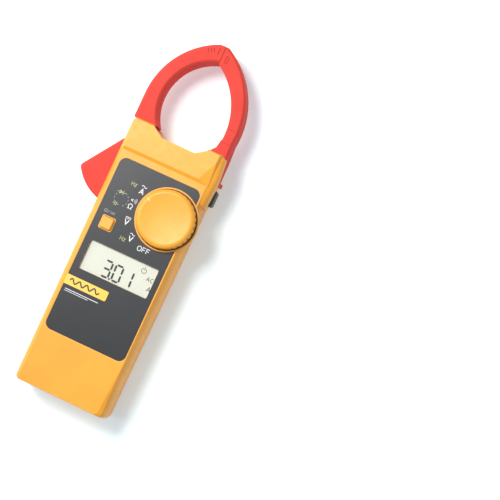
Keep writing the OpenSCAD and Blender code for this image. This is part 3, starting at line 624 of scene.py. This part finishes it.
bm = bmesh.new()
revolve(bm, DOME_PROFILE, DOME_X, DOME_Y, dome_low.z)
dome = new_piece("key_dome", bm, finishes["zebra_rubber"], "body")
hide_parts("button_dome")
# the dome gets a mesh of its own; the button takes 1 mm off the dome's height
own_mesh(dome)


# ---------------------------------------------------------------- display reading
glass_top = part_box("lcd_glass")[1].z
LCD_FOOT, LCD_TOP = glass_top - 0.04 * MM, glass_top + 0.06 * MM
segment_ink = ink("lcd_segment", (0.016, 0.017, 0.016))
mark_ink = ink("lcd_mark", (0.12, 0.125, 0.115))
# the lit segments of each digit: a is the top, then clockwise to f, and g is the middle
SEGMENTS = {"0": "abcdef", "1": "bc", "3": "abcdg"}
DIGIT_FOOT, DIGIT_W, DIGIT_H, DIGIT_T, SLANT = 67.4, 4.2, 8.8, 1.1, -0.04


def seven_segment(bm, digit, x, y, width, height, thick, slant):
    """One digit; each lit segment is a bar with pointed ends."""
    half = height / 2
    ends = {"a": (0, height, width, height), "b": (width, half, width, height),
            "c": (width, 0, width, half), "d": (0, 0, width, 0), "e": (0, 0, 0, half),
            "f": (0, half, 0, height), "g": (0, half, width, half)}
    gap, t = thick * 0.22, thick / 2
    for name in SEGMENTS[digit]:
        x0, y0, x1, y1 = ends[name]
        if x0 == x1:
            shape = [(x0, y0 + gap), (x0 + t, y0 + gap + t), (x0 + t, y1 - gap - t), (x0, y1 - gap),
                     (x0 - t, y1 - gap - t), (x0 - t, y0 + gap + t)]
        else:
            shape = [(x0 + gap, y0), (x0 + gap + t, y0 - t), (x1 - gap - t, y0 - t), (x1 - gap, y0),
                     (x1 - gap - t, y0 + t), (x0 + gap + t, y0 + t)]
        leaning = [(x + px + slant * py, y + py) for px, py in shape]
        slab(bm, in_metres(leaning), LCD_FOOT, LCD_TOP)


def lcd_line(bm, points, width):
    ribbon(bm, in_metres(points), width * MM, LCD_FOOT, LCD_TOP)


bm = bmesh.new()
for digit, x in (("3", -7.8), ("0", -1.5), ("1", 4.8)):
    seven_segment(bm, digit, x, DIGIT_FOOT, DIGIT_W, DIGIT_H, DIGIT_T, SLANT)
# the decimal point, between the first two digits
POINT_X, POINT_HALF = -2.6, 0.5
slab(bm, in_metres([(POINT_X + i * POINT_HALF, DIGIT_FOOT + j * POINT_HALF)
                    for i, j in ((-1, -1), (1, -1), (1, 1), (-1, 1))]), LCD_FOOT, LCD_TOP)
new_piece("lcd_digits", bm, segment_ink, "body")

bm = bmesh.new()
word(bm, "AC", *on_label(16.0, 75.0), 2.1, PLAIN, LCD_FOOT, LCD_TOP)
word(bm, "A", *on_label(18.4, 70.0), 2.3, 0.4, LCD_FOOT, LCD_TOP)
# auto-off mark: a broken ring and a stroke
lcd_line(bm, arc(12.9, 79.3, 1.35, 1.35, 120, 420, 18), PLAIN)
lcd_line(bm, [(12.9, 79.6), (12.9, 81.5)], PLAIN)
new_piece("lcd_marks", bm, mark_ink, "body")


# ---------------------------------------------------------------- camera, floor and light
# the camera's turns about X, Y and Z in radians, the point it looks at, and how far off it stands
TILT, LEAN, TURN = -0.075, -0.108, -0.42714
AIM = Vector((56.85, 10.77, 0.0)) * MM
DISTANCE = 932.5 * MM
LENS, SENSOR = 122.4, 36
FLOOR_HALF, FLOOR_GAP = 3, 0.2 * MM

to_camera = (Matrix.Rotation(LEAN, 3, "Y") @ Matrix.Rotation(TILT, 3, "X")
             @ Matrix.Rotation(TURN, 3, "Z"))
place = to_camera.transposed()
camera = bpy.data.objects.new("camera", bpy.data.cameras.new("camera"))
camera.matrix_world = Matrix.Translation(AIM + place @ Vector((0, 0, DISTANCE))) @ place.to_4x4()
camera.data.lens = LENS
camera.data.sensor_width = SENSOR
camera.data.clip_start, camera.data.clip_end = 0.05, 20
bpy.context.scene.collection.objects.link(camera)
bpy.context.scene.camera = camera

bm = bmesh.new()
bmesh.ops.create_grid(bm, x_segments=1, y_segments=1, size=FLOOR_HALF)
mesh = bpy.data.meshes.new("floor")
bm.to_mesh(mesh)
bm.free()
mesh.materials.append(floor_finish("floor_paint"))
floor = bpy.data.objects.new("floor", mesh)
floor.location.z = -FLOOR_GAP
bpy.context.scene.collection.objects.link(floor)

SKY_COLOUR, SKY_STRENGTH = (0.84, 0.93, 1.0), 0.44
world = bpy.data.worlds.new("studio")
world.use_nodes = True
background = world.node_tree.nodes["Background"]
background.inputs["Color"].default_value = (*SKY_COLOUR, 1.0)
background.inputs["Strength"].default_value = SKY_STRENGTH
bpy.context.scene.world = world

METER_MIDDLE = Vector((0, 0, 10)) * MM


def soft_light(name, direction, distance, size, power, gleam):
    """A square lamp that looks at the meter, from a direction given in the camera's own axes;
    gleam is the share of it that shows in reflections."""
    lamp = bpy.data.lights.new(name, "AREA")
    lamp.shape = "SQUARE"
    lamp.size = size
    lamp.energy = power
    lamp.specular_factor = gleam
    source = bpy.data.objects.new(name, lamp)
    offset = place @ Vector(direction).normalized()
    source.location = METER_MIDDLE + offset * distance
    source.rotation_mode = "QUATERNION"
    source.rotation_quaternion = offset.to_track_quat("Z", "Y")
    bpy.context.scene.collection.objects.link(source)


soft_light("key", (-0.40, 0.50, 1.0), 0.75, 0.28, 5.6, 0.35)
soft_light("rim", (-1.0, 0.35, 0.5), 1.0, 0.6, 3.0, 1.0)

bpy.context.scene.view_settings.view_transform = "Standard"
